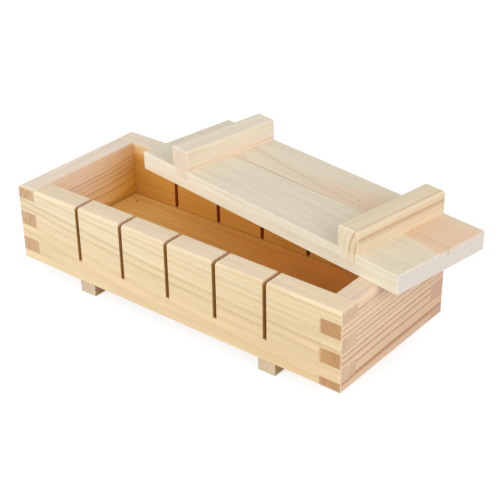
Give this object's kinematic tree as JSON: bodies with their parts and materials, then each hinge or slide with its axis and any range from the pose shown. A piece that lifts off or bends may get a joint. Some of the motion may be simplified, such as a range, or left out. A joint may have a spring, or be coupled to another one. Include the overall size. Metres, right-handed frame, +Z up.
{
  "type": "pressed sushi mold box",
  "caption": "Wooden box press for pressed sushi: a finger-jointed frame with knife slits lifts off a footed floor board, and a loose lid board with cross bars presses the rice.",
  "frame": {"origin": "centre of the object's whole outline at the plane that the feet stand on, with the lid as it lies across the rim", "axes": "+X along the box to the right, +Y from its front to its back, +Z up"},
  "size_m": [0.2636, 0.133, 0.0851],
  "materials": {
    "long_wall_wood": "planed bare softwood, matt",
    "end_wall_wood": "planed bare softwood with strong growth lines, matt",
    "floor_wood": "planed bare softwood, matt",
    "foot_wood": "sawn bare softwood, matt",
    "lid_wood": "planed bare softwood, matt",
    "cleat_wood": "planed bare softwood with eased edges, matt"
  },
  "bodies": {
    "base": {"floor_board": "floor_wood", "left_foot": "foot_wood", "right_foot": "foot_wood"},
    "frame": {"front_board": "long_wall_wood", "back_board": "long_wall_wood", "left_end_board": "end_wall_wood", "right_end_board": "end_wall_wood"},
    "lid": {"lid_board": "lid_wood", "left_cleat": "cleat_wood", "right_cleat": "cleat_wood"}
  },
  "joints": [
    {"name": "frame_lift", "type": "slide", "parent": "base", "child": "frame", "axis": [0, 0, 1], "range_m": [0, 0.06]},
    {"name": "lid_lift", "type": "slide", "parent": "frame", "child": "lid", "axis": [0, 0, 1], "range_m": [0, 0.08]}
  ]
}
